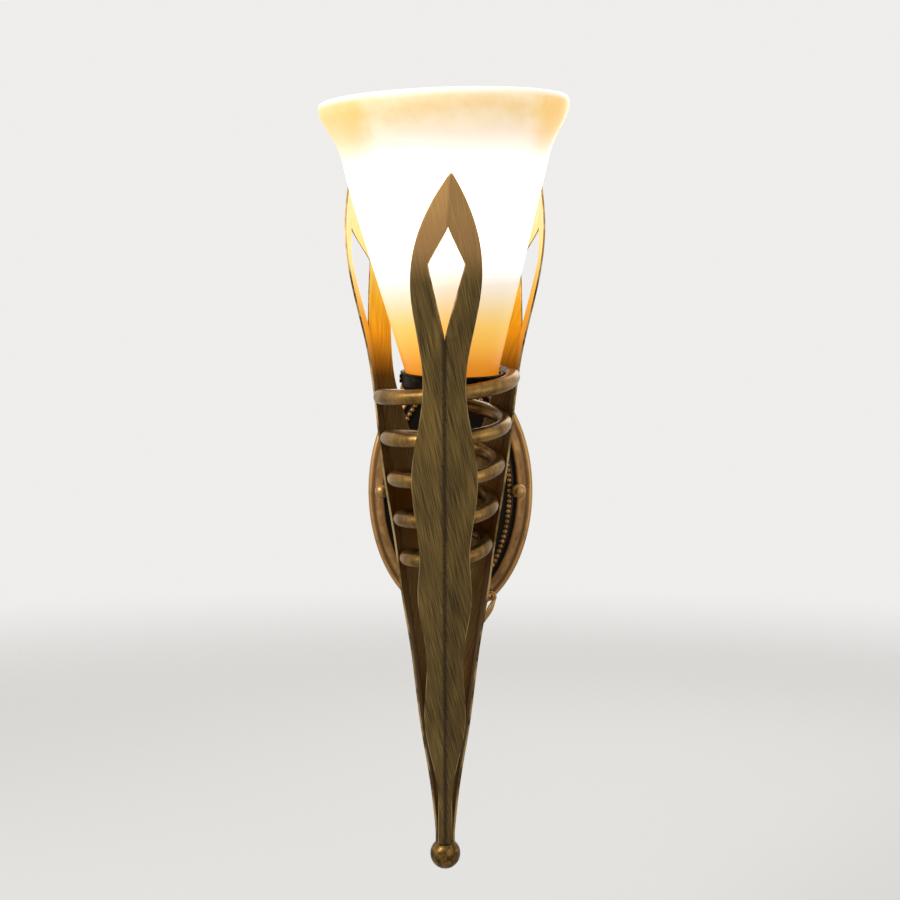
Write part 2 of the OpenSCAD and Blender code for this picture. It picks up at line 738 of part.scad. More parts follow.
module scroll_top() { color(copper_bronze) on_wall() mirror([0, 1, 0]) scroll_pair(top_scroll_at, top_tail); }
module scroll_foot() { color(copper_bronze) on_wall() scroll_pair(foot_scroll_at, foot_tail); }

// ---- Wall fixings ----

earth_x = -(wall_hole_x - wall_hole_r + cable_hole_r) / 2;
earth_r = 1.5;
earth_head_t = 2;
module wall_strap() {
    color(steel) on_wall() difference() {
        translate([-strap_l, -strap_w, 0]) cube([2 * strap_l, 2 * strap_w, strap_t]);
        rod(-1, strap_t + 1, cable_hole_r);
        for (side = [-1, 1]) {
            translate([side * wall_hole_x, 0, 0]) rod(-1, strap_t + 1, wall_hole_r);
            translate([side * stud_x, 0, 0]) rod(-1, strap_t + 1, stud_r + seat_gap / 2);
        }
        translate([earth_x, 0, 0]) rod(-1, strap_t + 1, earth_r + seat_gap / 2);
    }
}

module at_studs() { for (side = [-1, 1]) translate([side * stud_x, 0, 0]) children(); }

stud_top = plate_h + 7;
stud_nut_r = 3.9;
stud_nut_t = 2;
cap_stem_l = 6;
module strap_studs() { color(steel) on_wall() at_studs() rod(0, stud_top, stud_r); }
module stud_nuts() {
    color(steel) on_wall() at_studs() rotate([0, 0, 30])
        hex_nut(strap_t + seat_gap, stud_r + seat_gap / 2, stud_nut_r, stud_nut_t);
}

module cap_nut(side) {
    ball_z = plate_h + seat_gap + cap_stem_l;
    color(copper_bronze) on_wall() translate([side * stud_x, 0, 0]) difference() {
        union() {
            rod(plate_h + seat_gap, ball_z, 0.72 * cap_ball_r);
            translate([0, 0, ball_z]) sphere(r = cap_ball_r);
        }
        rod(plate_h, stud_top + 0.5, stud_r + screw_play);
    }
}
module cap_nut_left() { cap_nut(-1); }
module cap_nut_right() { cap_nut(1); }

module earth_screw() {
    color(brass) on_wall() translate([earth_x, 0, 0]) {
        rod(0, strap_t + seat_gap, earth_r);
        rod(strap_t + seat_gap, strap_t + seat_gap + earth_head_t, 2 * earth_r);
    }
}

// The terminal block lies on the strap; its two lead ways are bored from the near face
terminal_l = 16;
terminal_h = 12;
terminal_d = 8;
terminal_mid = 1.5;
terminal_z = strap_t + seat_gap;
lead_z = 4.8;
way_gap = 2.5;
way_l = 7;
clamp_x = terminal_x + 4.5;
clamp_r = 1.3;

module terminal_block() {
    color("#ece8dd") on_wall() difference() {
        translate([terminal_x, terminal_mid - terminal_h / 2, terminal_z])
            cube([terminal_l, terminal_h, terminal_d]);
        for (side = [-1, 1]) translate([0, terminal_mid + side * way_gap, 0]) {
            translate([clamp_x, 0, 0]) rod(lead_z, terminal_z + terminal_d + 1, clamp_r + seat_gap);
            translate([terminal_x, 0, lead_z]) rotate([0, 90, 0]) rod(-1, way_l, lead_r + seat_gap);
        }
    }
}

module terminal_screws() {
    low = lead_z + lead_r + seat_gap;
    color(brass) on_wall() for (side = [-1, 1])
        translate([clamp_x, terminal_mid + side * way_gap, 0]) rod(low, terminal_z + terminal_d - 0.5, clamp_r);
}

// ---- Leads ----

function at_wall(p) = [p[0], -p[2], p[1]];

// One of the two leads, on the upper side of the arm (k = 1) or the lower side (k = -1)
module lead(k, colour) {
    route = [at_wall([terminal_x + way_l - 0.5, terminal_mid + k * way_gap, lead_z]),
        at_wall([terminal_x - 1, terminal_mid + k * way_gap, lead_z]),
        at_arm([0, k * lead_x, arm_low - 2.4]),
        at_arm([0, k * lead_x, arm_l - k * lead_x]),
        at_rod([0, k * lead_x, holder_s + holder_depth - seat_gap])];
    color(colour) tube(stepped(rounded(route, 2.6, 5), 5), lead_r, [0.05, 0.3, 1], 8);
}
module lead_live() { lead(1, "#8a4b2a"); }
module lead_neutral() { lead(-1, "#2d5d9a"); }

// The earth lead runs from the earth screw to the wedge behind the arm
module earth_lead() {
    low = strap_t + 2 * seat_gap + earth_head_t;
    route = [at_wall([earth_x, 0, low]), at_wall([earth_x, 0, low + 4]),
        at_arm([-nut_r - 5 * seat_gap, 0.8, wedge_low + 1.4])];
    color("#5b8a3a") tube(stepped(rounded(route, 2, 5), 4), lead_r, [0, 0, 1], 8);
}

wall_strap();
strap_studs();
stud_nuts();
terminal_block();
terminal_screws();
earth_screw();
earth_lead();
plate();
bead_band();
scroll_top();
scroll_foot();
cap_nut_left();
cap_nut_right();
arm_nipple();
arm_boss();
arm_wedge();
arm_lock_nut();
arm_tube();
hub();
stem_nipple();
stem_tube();
tie_rod();
foot_collar();
ball_finial();
leaf_front();
leaf_left();
leaf_right();
coil();
fitter_cup();
cup_lock_nut();
neck_screw_front();
neck_screw_rear();
neck_screw_left();
neck_gasket();
glass_shade();
holder_shell();
holder_core();
holder_thread();
holder_contact();
bulb_cap();
bulb_tip();
bulb_glass();
bulb_mount();
lead_live();
lead_neutral();
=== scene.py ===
# %% [markdown]
# # A torch wall light
# A glass bell stands in a cone of three folded metal leaves. A coiled rod winds inside the leaves, a ball
# closes their feet, and an arm carries the torch from an oval bronze plate on the wall.
# Every piece is made in millimetres in its own upright place, and one matrix then lays it where the real
# piece hangs. First the measured model is loaded, because every new piece has to fit it.

# %% Load the measured model
import math
import bmesh
import bpy
from mathutils import Matrix, Vector


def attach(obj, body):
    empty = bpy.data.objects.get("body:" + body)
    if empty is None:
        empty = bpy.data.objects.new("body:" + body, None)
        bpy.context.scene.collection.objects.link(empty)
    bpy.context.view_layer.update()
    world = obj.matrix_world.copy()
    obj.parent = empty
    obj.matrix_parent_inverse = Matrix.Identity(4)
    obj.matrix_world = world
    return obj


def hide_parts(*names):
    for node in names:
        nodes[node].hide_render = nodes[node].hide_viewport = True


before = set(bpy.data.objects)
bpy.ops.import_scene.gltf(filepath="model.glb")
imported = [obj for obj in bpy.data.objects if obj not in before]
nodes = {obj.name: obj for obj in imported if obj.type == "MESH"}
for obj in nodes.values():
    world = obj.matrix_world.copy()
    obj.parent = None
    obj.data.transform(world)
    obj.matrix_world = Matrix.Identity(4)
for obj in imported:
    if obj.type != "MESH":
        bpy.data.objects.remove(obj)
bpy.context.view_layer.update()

# %% [markdown]
# ## Places
# The torch leans towards the room, its inner rod leans a hair to the right and the glass a little to the
# left. A matrix for each of these saves working out a single slanted point by hand: a piece is modelled
# upright, with heights counted from the ball, and then multiplied by its matrix.

# %% The matrices of the wall, the rod, the leaves and the glass
MM = Matrix.Scale(0.001, 4)
TORCH_LEAN, SIDE_LEAN, GLASS_SKEW = 10.3, 0.85, 2.9
ARM_REACH, PLATE_H, ARM_HEIGHT = 72.0, 15.0, 231.625
HUB_DROP = (ARM_REACH - PLATE_H) * math.tan(math.radians(TORCH_LEAN))
CUP_S, NECK_SCREW_S = 319.0, 314.2


def turn(degrees, axis):
    return Matrix.Rotation(math.radians(degrees), 4, axis)


def move(x, y, z):
    return Matrix.Translation((x, y, z))


WALL = MM @ turn(90, "X")
ROD = (MM @ move(0, -ARM_REACH, -HUB_DROP) @ turn(SIDE_LEAN, "Y") @ turn(TORCH_LEAN, "X")
       @ move(0, 0, -ARM_HEIGHT))
LEAVES = ROD @ turn(-SIDE_LEAN, "Y")
GLASS = ROD @ move(0, 0, NECK_SCREW_S) @ turn(-GLASS_SKEW, "Y") @ move(0, 0, -NECK_SCREW_S)
print("ball centre:", [round(c, 4) for c in ROD @ Vector((0, 0, 0))])

# %% [markdown]
# ## Camera
# The photograph was taken level with the torch's middle, square to the wall, with a fairly long lens.
# The camera comes before the pieces so that every render can be set beside the photograph.

# %% The camera
camera = bpy.data.objects.new("camera", bpy.data.cameras.new("camera"))
bpy.context.scene.collection.objects.link(camera)
camera.location = (-0.0003, -0.822, 0.0274)
camera.rotation_euler = (math.radians(90), 0, 0)
camera.data.lens = 48
camera.data.sensor_width = 36
camera.data.clip_start = 0.01
bpy.context.scene.camera = camera
print("camera distance from the wall:", -camera.location.y, "m")

# %% [markdown]
# ## Writing materials as sums
# A finish is mostly arithmetic: more wear near an edge, less where it is dark. Node by node that is hard
# to read, so a small class wraps a socket and lets Python's own signs add the Math nodes. Every other
# node comes from one method, which sets the node up first and then fills or links its sockets.

# %% A socket that can be added and multiplied
class Wire:
    def __init__(self, look, socket):
        self.look, self.socket = look, socket

    def sum(self, operation, *values):
        return self.look.node("Math", {"operation": operation}, dict(enumerate(values)))

    def __add__(self, other): return self.sum("ADD", self, other)
    def __radd__(self, other): return self.sum("ADD", other, self)
    def __sub__(self, other): return self.sum("SUBTRACT", self, other)
    def __rsub__(self, other): return self.sum("SUBTRACT", other, self)
    def __mul__(self, other): return self.sum("MULTIPLY", self, other)
    def __rmul__(self, other): return self.sum("MULTIPLY", other, self)
    def __truediv__(self, other): return self.sum("DIVIDE", self, other)
    def __abs__(self): return self.sum("ABSOLUTE", self)

    def ramp(self, low, high):
        """0 below low, 1 above high, and smooth between."""
        return self.look.node("MapRange", {"interpolation_type": "SMOOTHSTEP"},
                              {"Value": self, "From Min": low, "From Max": high})


class Look:
    def __init__(self, name):
        self.material = bpy.data.materials.new(name)
        self.material.use_nodes = True
        self.tree = self.material.node_tree
        self.tree.nodes.clear()

    def node(self, kind, settings=None, values=None, out=0):
        made = self.tree.nodes.new("ShaderNode" + kind)
        for key, value in (settings or {}).items():
            if key == "stops":
                while len(made.color_ramp.elements) < len(value):
                    made.color_ramp.elements.new(1)
                for element, (place, colour) in zip(made.color_ramp.elements, value):
                    element.position, element.color = place, (*colour, 1)
            else:
                setattr(made, key, value)
        for key, value in (values or {}).items():
            if isinstance(value, Wire):
                self.tree.links.new(value.socket, made.inputs[key])
            else:
                made.inputs[key].default_value = value
        return Wire(self, made.outputs[out]) if len(made.outputs) else None

    def place(self, scale=(1, 1, 1), rotation=(0, 0, 0), name=None):
        """Coordinates in millimetres, turned and then stretched: the piece's own, or where it is."""
        if name:
            source = self.node("Attribute", {"attribute_name": name}, out="Vector")
        else:
            source = self.node("TexCoord", out="Object")
            scale = tuple(1000 * s for s in scale)
        if any(rotation):
            angles = tuple(math.radians(r) for r in rotation)
            source = self.node("Mapping", {}, {"Vector": source, "Rotation": angles})
        return self.node("Mapping", {}, {"Vector": source, "Scale": scale})

    def split(self, vector):
        """The three numbers of a vector, each as a wire."""
        first = self.node("SeparateXYZ", {}, {"Vector": vector})
        return [Wire(self, socket) for socket in first.socket.node.outputs]

    def noise(self, place, size, detail, rough=0.55):
        return self.node("TexNoise", {}, {"Vector": place, "Scale": 1 / size, "Detail": detail,
                                          "Roughness": rough})

    def blend(self, share, first, second):
        values = {0: share}
        for key, colour in ((6, first), (7, second)):
            values[key] = colour if isinstance(colour, Wire) else (*colour, 1)
        return self.node("Mix", {"data_type": "RGBA"}, values, out=2)

    def bump(self, height, strength, distance):
        return self.node("Bump", {}, {"Height": height, "Strength": strength, "Distance": distance})

    def done(self, **sockets):
        values = {key.replace("_", " "): value for key, value in sockets.items()}
        for key, value in values.items():
            if isinstance(value, tuple) and len(value) == 3:
                values[key] = (*value, 1)
        shader = self.node("BsdfPrincipled", {}, values)
        self.node("OutputMaterial", {}, {"Surface": shader})
        return self.material


print("material helpers ready")

# %% [markdown]
# ## Brushed antique gold
# The leaves are painted brown and rubbed over with gold, stroke by stroke, on a slant. The worn rims show
# bright metal. Along the fold the metal is painted dark as painted shade, with specks of dirt beside it. A
# leaf knows its own flat pattern: each point of its mesh carries its distance across, its height and its
# distance from the nearest rim, all in millimetres. The strokes are noise stretched along one direction of
# that pattern, so they follow the metal round the fold.
# The inner faces near the glass bathe in its light, from orange at the neck to cream at the tip, so they
# get a second finish that adds this warm glow by height.

# %% The finish of the leaves, outside and inside
HEAD_FROM, LEAF_TIP = 300.0, 434.0
HEAD_SPAN = LEAF_TIP - HEAD_FROM


def leaf_finish(name, lit):
    look = Look(name)
    flat = look.node("Attribute", {"attribute_name": "leaf_mm"}, out="Vector")
    across, height, rim = look.split(flat)
    off_fold = abs(across)
    fine = look.noise(look.place((1, 0.018, 0), (0, 0, -11), "leaf_mm"), 0.42, 2)
    broad = look.noise(look.place((1, 0.025, 0), (0, 0, -15), "leaf_mm"), 1.3, 2)
    cloud = look.noise(look.place((1, 0.4, 1), name="leaf_mm"), 18, 2)
    strokes = (0.65 * fine + 0.22 * broad + 0.25 * cloud).ramp(0.38, 0.76)
    specks = look.noise(look.place((1, 0.6, 1), name="leaf_mm"), 1.3, 4).ramp(0.56, 0.64)
    worn = look.noise(look.place((1, 0.1, 1), name="leaf_mm"), 4, 3).ramp(0.42, 0.6)
    head = height.ramp(372, 396)
    # The fold is painted dark as painted shade, and dark specks of dirt lie beside it. Both fade in the
    # head.
    fold_shade_and_specks = (1 - off_fold.ramp(0.3, 2.4)) * 0.7 + specks * (1 - off_fold.ramp(1, 7)) * 0.5
    fold_shade_and_specks = fold_shade_and_specks * (1 - 0.85 * head)
    gold = look.blend(strokes, (0.040, 0.024, 0.006), (0.25, 0.155, 0.038))
    gold = look.blend(head * 0.65, gold, (0.50, 0.27, 0.095))
    gold = look.blend(fold_shade_and_specks.ramp(0, 1), gold, (0.030, 0.017, 0.007))
    gold = look.blend((1 - rim.ramp(0.05, 0.6)) * worn * 0.8, gold, (0.62, 0.44, 0.20))
    sockets = {}
    if lit:
        warm = look.node("ValToRGB", {"stops": [
            (0.00, (0, 0, 0)), (0.10, (0.03, 0.010, 0.000)), (0.18, (0.30, 0.090, 0.000)),
            (0.30, (0.86, 0.28, 0.001)), (0.46, (0.98, 0.42, 0.005)), (0.60, (0.98, 0.60, 0.09)),
            (0.72, (0.92, 0.70, 0.28)), (0.90, (0.88, 0.74, 0.44))]},
            {"Fac": (height - HEAD_FROM) / HEAD_SPAN})
        sockets = {"Emission_Color": look.blend((1 - strokes) * 0.25, warm, (0.12, 0.03, 0.0)),
                   "Emission_Strength": 0.92}
    return look.done(Base_Color=gold, Metallic=0.7, Roughness=0.50 - 0.12 * strokes + 0.12 * cloud,
                     Normal=look.bump(strokes + 0.4 * fine - 0.5 * fold_shade_and_specks, 0.35, 0.0003), **sockets)


LEAF_GOLD = leaf_finish("brushed antique gold", False)
LEAF_LIT = leaf_finish("antique gold in the lamplight", True)
print("finishes:", LEAF_GOLD.name, "and", LEAF_LIT.name)

# %% [markdown]
# ## Metals of the smaller pieces
# The rod, the arm and the hub have the same antique gold without the long strokes, the ball is smoother,
# the cup is almost black, and the hidden fixings are plain steel and brass. One recipe covers them: two
# colours mixed by a cloudy noise, fine scratches in the roughness and a little bump.

# %% The cloudy metal recipe
def cloudy(name, dark, light, metallic, rough, size=5.0, low=0.4, high=0.65, bump=0.12):
    look = Look(name)
    cloud = look.noise(look.place(), size, 5)
    grain = look.noise(look.place((1, 1, 0.2)), size / 6, 3)
    mask = (0.7 * cloud + 0.3 * grain).ramp(low, high)
    colour = look.blend(mask, dark, light)
    return look.done(Base_Color=colour, Metallic=metallic, Roughness=rough + 0.15 * grain - 0.08 * mask,
                     Normal=look.bump(cloud + 0.4 * grain, bump, 0.0003))


ROD_GOLD = cloudy("antique gold rod", (0.11, 0.056, 0.012), (0.40, 0.225, 0.058), 0.85, 0.32,
                  14, 0.3, 0.7, 0.05)
BALL_BRASS = cloudy("polished antique brass", (0.06, 0.031, 0.008), (0.25, 0.140, 0.036), 0.95, 0.28, 4)
DARK_BRONZE = cloudy("near-black bronze", (0.007, 0.005, 0.003), (0.030, 0.018, 0.009), 0.97, 0.42)
STEEL = cloudy("zinc-plated steel", (0.42, 0.43, 0.44), (0.66, 0.67, 0.68), 0.95, 0.34)
BRASS = cloudy("plain brass", (0.55, 0.38, 0.13), (0.80, 0.60, 0.28), 0.95, 0.28)
PORCELAIN = cloudy("white glazed porcelain", (0.80, 0.78, 0.72), (0.88, 0.87, 0.83), 0.0, 0.18, 8,
                   bump=0.02)
IVORY = cloudy("off-white moulded plastic", (0.78, 0.74, 0.64), (0.86, 0.83, 0.75), 0.0, 0.45, 6,
               bump=0.03)
RUBBER = cloudy("soft black ring", (0.025, 0.023, 0.021), (0.055, 0.05, 0.046), 0.0, 0.75, 2, bump=0.1)
BROWN = cloudy("brown wire cover", (0.16, 0.055, 0.025), (0.24, 0.09, 0.04), 0.0, 0.42, 4, bump=0.03)
BLUE = cloudy("blue wire cover", (0.03, 0.10, 0.32), (0.06, 0.17, 0.45), 0.0, 0.42, 4, bump=0.03)
GREEN = cloudy("green wire cover", (0.07, 0.22, 0.05), (0.13, 0.36, 0.10), 0.0, 0.42, 4, bump=0.03)
print("metals and covers ready")

# %% [markdown]
# ## Copper bronze of the plate
# The plate is bronze with dark wax in its hollows and copper where hands and cloths have rubbed it. Its
# mesh carries one number, how high a point stands above its neighbours, and the wax follows that number.

# %% The finish of the plate and its ornament
def plate_finish():
    look = Look("copper bronze with dark wax")
    raised = look.node("Attribute", {"attribute_name": "raised"}, out="Fac")
    cloud = look.noise(look.place(), 9, 5)
    grain = look.noise(look.place(), 1.1, 4)
    share = (raised + 0.5 * (cloud - 0.5) + 0.25 * (grain - 0.5)).ramp(0.1, 0.8)
    colour = look.blend(share, (0.012, 0.007, 0.003), (0.21, 0.098, 0.025))
    colour = look.blend((raised * (0.6 + 0.8 * cloud)).ramp(0.85, 1.2), colour, (0.46, 0.25, 0.078))
    return look.done(Base_Color=colour, Metallic=0.8, Roughness=0.42 - 0.10 * share + 0.1 * grain,
                     Normal=look.bump(grain + cloud, 0.14, 0.0004))


PLATE_BRONZE = plate_finish()
print("finish:", PLATE_BRONZE.name)

# %% [markdown]
# ## Glowing glass
# The bell is thick glass with amber and cream powder melted in, so it looks like alabaster: the lamp
# burns white through its middle, the flare stays mottled amber, the cut edge of the lip is nearly white
# and the neck glows orange. This glow is painted on the glass as emission. Its mesh carries the height
# above the neck. A ramp along that height gives the glow, and cloudy noise breaks it up. The flare's glow
# is also painted deeper amber towards its left and right sides, as painted shade of glass seen at a slant.

# %% The finish of the glass
def glass_finish():
    look = Look("mottled amber glass")
    rise = look.node("Attribute", {"attribute_name": "rise"}, out="Fac")
    aside = abs(look.split(look.node("TexCoord", out="Object"))[0])
    cloud = look.noise(look.place((1, 1, 1.4)), 24, 5, 0.6)
    wisps = look.noise(look.place((1, 1, 0.6), (20, 35, 0)), 7, 4, 0.6)
    mottle = (0.65 * cloud + 0.35 * wisps).ramp(0.34, 0.68)
    glow = look.node("ValToRGB", {"stops": [
        (0.00, (0.36, 0.115, 0.001)), (0.04, (0.38, 0.130, 0.001)), (0.11, (0.43, 0.215, 0.020)),
        (0.18, (0.43, 0.270, 0.050)), (0.24, (0.41, 0.30, 0.140)), (0.28, (0.40, 0.33, 0.23)),
        (0.33, (0.42, 0.37, 0.34)), (0.38, (0.60, 0.56, 0.52)), (0.45, (1.0, 0.95, 0.80)),
        (0.70, (1.0, 0.95, 0.80)), (0.80, (0.58, 0.53, 0.51)), (0.86, (0.44, 0.38, 0.33)),
        (0.90, (0.40, 0.32, 0.20)), (0.94, (0.40, 0.27, 0.11)), (0.97, (0.40, 0.31, 0.16)),
        (0.985, (0.44, 0.40, 0.33)), (1.00, (0.50, 0.47, 0.42))]}, {"Fac": rise})
    flare = rise.ramp(0.72, 0.90) * (1 - rise.ramp(0.97, 0.99))
    light = look.blend(flare * mottle * 0.6, glow, (0.46, 0.39, 0.28))
    # The flare's painted glow turns deeper amber where the glass is cloudy, and, as painted shade, towards
    # its left and right sides.
    clouds_and_dim_sides = (0.9 * aside.ramp(0.030, 0.068) + 0.5 * (1 - cloud)).ramp(0.3, 0.9)
    light = look.blend(flare * clouds_and_dim_sides * 0.8, light, (0.42, 0.235, 0.020))
    body = look.node("ValToRGB", {"stops": [
        (0.00, (0.42, 0.14, 0.008)), (0.11, (0.50, 0.25, 0.04)), (0.20, (0.53, 0.33, 0.10)),
        (0.28, (0.57, 0.45, 0.27)), (0.34, (0.58, 0.51, 0.40)), (0.84, (0.58, 0.51, 0.40)),
        (0.94, (0.56, 0.44, 0.27)), (1.00, (0.62, 0.57, 0.47))]}, {"Fac": rise})
    body = look.blend(flare * (1 - mottle) * 0.5, body, (0.52, 0.34, 0.13))
    return look.done(Base_Color=body, Roughness=0.42, Emission_Color=light, Emission_Strength=1.5,
                     Coat_Weight=0.08, Coat_Roughness=0.2, Normal=look.bump(mottle, 0.12, 0.0004))


AMBER_GLASS = glass_finish()
print("finish:", AMBER_GLASS.name)

# %% [markdown]
# ## Finishing a piece
# Each mesh ends in the same few steps: lay it in its place, point its faces outwards, give it its
# finish, tell the model which body it moves with, and hide the plain pieces it stands for.

# %% Helpers that every new piece uses
def finish_piece(bm, name, place, body, material, stands_for, sharp=40):
    bmesh.ops.remove_doubles(bm, verts=bm.verts, dist=0.0005)
    bmesh.ops.recalc_face_normals(bm, faces=bm.faces)
    bmesh.ops.transform(bm, matrix=place, verts=bm.verts)
    mesh = bpy.data.meshes.new(name)
    bm.to_mesh(mesh)
    bm.free()
    mesh.shade_smooth()
    mesh.set_sharp_from_angle(angle=math.radians(sharp))
    mesh.materials.append(material)
    piece = bpy.data.objects.new(name, mesh)
    bpy.context.scene.collection.objects.link(piece)
    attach(piece, body)
    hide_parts(*stands_for)
    print(f"{name}: {len(mesh.polygons)} faces, rides on {body}")
    return piece


def spun(profile, steps, closed=False):
    """Turns a profile of (radius, height) about the upright axis, as on a lathe."""
    bm = bmesh.new()
    points = [bm.verts.new((r, 0, h)) for r, h in profile]
    pairs = list(zip(points, points[1:])) + ([(points[-1], points[0])] if closed else [])
    lines = [bm.edges.new(pair) for pair in pairs]
    bmesh.ops.spin(bm, geom=points + lines, cent=(0, 0, 0), axis=(0, 0, 1), angle=math.tau,
                   steps=steps, use_merge=True)
    bmesh.ops.remove_doubles(bm, verts=bm.verts, dist=0.0005)
    return bm


def arc(centre, radius, start, end, count):
    """Points of a circle's part, in degrees from the right."""
    angles = [math.radians(start + (end - start) * k / count) for k in range(count + 1)]
    return [(centre[0] + radius * math.cos(a), centre[1] + radius * math.sin(a)) for a in angles]


def number_points(piece, name, value):
    """Stores value(point) on every point of a piece, with the point where it lies, in metres."""
    layer = piece.data.attributes.new(name, "FLOAT", "POINT")
    for item, vertex in zip(layer.data, piece.data.vertices):
        item.value = value(vertex.co)


def add_part(bm, part):
    """Moves the faces of one unfinished mesh into another."""
    mesh = bpy.data.meshes.new("part")
    part.to_mesh(mesh)
    part.free()
    bm.from_mesh(mesh)
    bpy.data.meshes.remove(mesh)


print("piece helpers ready")

# %% [markdown]
# ## The leaves
# A leaf is sheet metal: a long wavy blade with a kite cut in its head, folded lengthwise and bent
# outwards at the shoulder. A flat grid makes half of it. Each grid point is moved out to the outline, and
# inside the kite's heights the inner column moves out as well, which opens the kite without any cutting.
# The fold then drops each point back by its distance from the middle, and mirroring gives the other half.
# The leaves are bent by hand, and the front one's head leans a little to the right. Last, the flat sheet
# gets its thickness inwards and a hair of rounding on its edges.

# %% The outline of a leaf
LEAF_FOOT, FOOT_TOP, WAIST_S, SHOULDER_S = 9.0, 16.0, 316.0, 416.0
FOOT_R, WAIST_R, SHOULDER_R, LEAF_BOW = 6.4, 51.44, 69.2, 1.1
FOLD = math.radians(24)
LEAF_T = 1.2
KITE_LOW, KITE_MID, KITE_TOP, KITE_W, KITE_ROUND = 342.5, 385.0, 405.5, 10.8, 0.35
BELLIES = [(9, 4.7), (40, 4.4), (100, 13.1), (138, 11.3), (184, 16.7), (208, 15.3), (256, 19.8),
           (316, 12.5), (378, 20.2)]
TIP_W = 0.7


def crease_r(s):
    """Distance from the torch's axis to the crease at height s."""
    if s < WAIST_S:
        return FOOT_R + (WAIST_R - FOOT_R) * (max(0, s - FOOT_TOP) / (WAIST_S - FOOT_TOP)) ** LEAF_BOW
    x = min(1, (s - WAIST_S) / (SHOULDER_S - WAIST_S))
    rise = 0.75 * (x ** 3 - 2 * x * x + x) + 3 * x * x - 2 * x ** 3
    return WAIST_R + (SHOULDER_R - WAIST_R) * rise


def half_w(s):
    """Half the leaf's width at height s: a smooth wave from belly to waist, then a pointed arch."""
    for (low, w_low), (high, w_high) in zip(BELLIES, BELLIES[1:]):
        if s <= high:
            share = (1 - math.cos(math.pi * (s - low) / (high - low))) / 2
            return w_low + (w_high - w_low) * share
    last_s, last_w = BELLIES[-1]
    return TIP_W + (last_w - TIP_W) * (1 - ((s - last_s) / (LEAF_TIP - last_s)) ** 2)


def kite_w(s):
    """Half the kite's width at height s, 0 above and below it, with its side corners rounded."""
    up = KITE_W * (s - KITE_LOW) / (KITE_MID - KITE_LOW)
    down = KITE_W * (KITE_TOP - s) / (KITE_TOP - KITE_MID)
    if min(up, down) <= 0:
        return 0.0
    return max(0.0, -KITE_ROUND * math.log(math.exp(-up / KITE_ROUND) + math.exp(-down / KITE_ROUND)))


print("widest leaf width:", 2 * max(half_w(s) for s in range(9, 434)), "mm")

# %% The three folded blades
ROW_COUNTS = [(LEAF_FOOT, KITE_LOW, 112), (KITE_LOW, KITE_MID, 14), (KITE_MID, KITE_TOP, 8),
              (KITE_TOP, LEAF_TIP, 12)]
ROW_HEIGHTS = [low + (high - low) * k / count for low, high, count in ROW_COUNTS for k in range(count)]
ROW_HEIGHTS += [LEAF_TIP]
LEAF_ROWS = len(ROW_HEIGHTS) - 1
LEAF_COLUMNS, CROWDING = 10, 1.15
HEAD_DRIFT, HEAD_BEND = 4.0, 2.3
SLIT_W = 0.05
FOLD_SOFT = 0.7
EDGE_ROUND = 0.00028


def leaf(name, azimuth, drift=0.0):
    bm = bmesh.new()
    bmesh.ops.create_grid(bm, x_segments=LEAF_COLUMNS, y_segments=LEAF_ROWS, size=1)
    pattern = bm.verts.layers.float_vector.new("leaf_mm")
    for v in bm.verts:
        u, row = (v.co.x + 1) / 2, round((v.co.y + 1) / 2 * LEAF_ROWS)
        s = ROW_HEIGHTS[row]
        inner, outer = kite_w(s), half_w(s)
        y = inner + (outer - inner) * u ** CROWDING
        to_kite = y - inner if inner > SLIT_W else outer
        v[pattern] = (y, s, min(outer - y, to_kite, (LEAF_TIP - s) / 2))
        v.co = (crease_r(s) - math.tan(FOLD) * (math.hypot(y, FOLD_SOFT) - FOLD_SOFT), y, s)
    half = bm.verts[:] + bm.edges[:] + bm.faces[:]
    made = bmesh.ops.duplicate(bm, geom=half)["geom"]
    other = [g for g in made if isinstance(g, bmesh.types.BMVert)]
    bmesh.ops.scale(bm, vec=(1, -1, 1), verts=other)
    for v in other:
        v[pattern] = (-v[pattern].x, v[pattern].y, v[pattern].z)
    bmesh.ops.reverse_faces(bm, faces=[g for g in made if isinstance(g, bmesh.types.BMFace)])
    bmesh.ops.remove_doubles(bm, verts=bm.verts, dist=0.002)
    for v in bm.verts:
        v.co.y += drift * (max(0, v.co.z - HEAD_FROM) / HEAD_SPAN) ** HEAD_BEND
    place = LEAVES @ turn(azimuth, "Z")
    piece = finish_piece(bm, name + "_blade", place, "fixture", LEAF_GOLD, (name,), 60)
    piece.data.materials.append(LEAF_LIT)
    outwards = place.to_3x3() @ Vector((1, 0, 0))
    if piece.data.polygons[0].normal.dot(outwards) < 0:
        piece.data.flip_normals()
    wall = piece.modifiers.new("thickness", "SOLIDIFY")
    wall.thickness, wall.offset, wall.material_offset = LEAF_T / 1000, -1, 1
    round_off = piece.modifiers.new("soft edges", "BEVEL")
    round_off.width, round_off.segments, round_off.limit_method = EDGE_ROUND, 2, "ANGLE"
    round_off.angle_limit = math.radians(50)


leaf("leaf_front", -90, HEAD_DRIFT)
leaf("leaf_left", 150)
leaf("leaf_right", 30)

# %% [markdown]
# ## The coil
# One round rod winds up inside the leaves in a widening spiral and touches all three. A curve with a round
# bevel is the simplest way to make a long rod of even thickness, and its path is the same sum as in the
# measured model: at each angle the rod lies just inside the leaves. Both ends run straight on.

# %% The path and the rod
def leaf_inside(s):
    flat = crease_r(s) * math.cos(FOLD) - LEAF_T
    if half_w(s) > flat * math.sin(FOLD):
        return flat
    return math.hypot(crease_r(s) - half_w(s) * math.tan(FOLD) - LEAF_T / math.cos(FOLD), half_w(s))


ROD_R, COIL_GAP, COIL_END = 4.6, 0.25, 9.2
COIL_S, COIL_PITCH, COIL_RISE, COIL_TILT = 289.0, 25.5, 3.0, 1.6
COIL_FROM, COIL_STEP, COIL_POINTS = -1340, 5, 362


